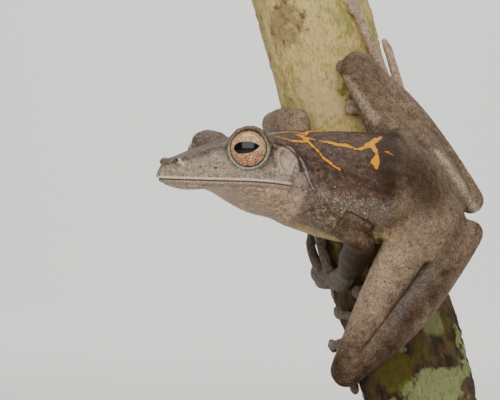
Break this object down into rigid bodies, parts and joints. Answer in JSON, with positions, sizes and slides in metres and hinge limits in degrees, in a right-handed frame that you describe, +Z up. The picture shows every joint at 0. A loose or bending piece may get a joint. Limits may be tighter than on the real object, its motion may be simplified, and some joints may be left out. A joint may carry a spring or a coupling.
{
  "type": "tree frog model",
  "caption": "Life-size still model of a tree frog gripping a cut length of stem with folded legs, on a flat display base with one rod.",
  "frame": {"origin": "middle of the underside of the stand's base", "axes": "+Z up, the tallest way; the frog's trunk lies along X with its head towards -X, and its left side faces -Y"},
  "size_m": [0.072, 0.058, 0.0977],
  "materials": {
    "skin": "taupe grey frog skin, finely granular, with orange lines on the back",
    "eye": "glossy coppery iris round a level black pupil",
    "stem": "bark with pale lichen above and dark brown mossy patches below",
    "rod": "plain satin steel",
    "base": "satin black"
  },
  "bodies": {
    "root": {"head": "skin", "torso": "skin", "upper_arm_left": "skin", "forearm_left": "skin", "hand_left": "skin", "thigh_left": "skin", "shank_left": "skin", "tarsus_left": "skin", "foot_left": "skin", "upper_arm_right": "skin", "forearm_right": "skin", "hand_right": "skin", "thigh_right": "skin", "shank_right": "skin", "tarsus_right": "skin", "foot_right": "skin", "eye_left": "eye", "eye_right": "eye", "perch_stem": "stem", "stand_rod": "rod", "stand_base": "base"}
  },
  "joints": []
}
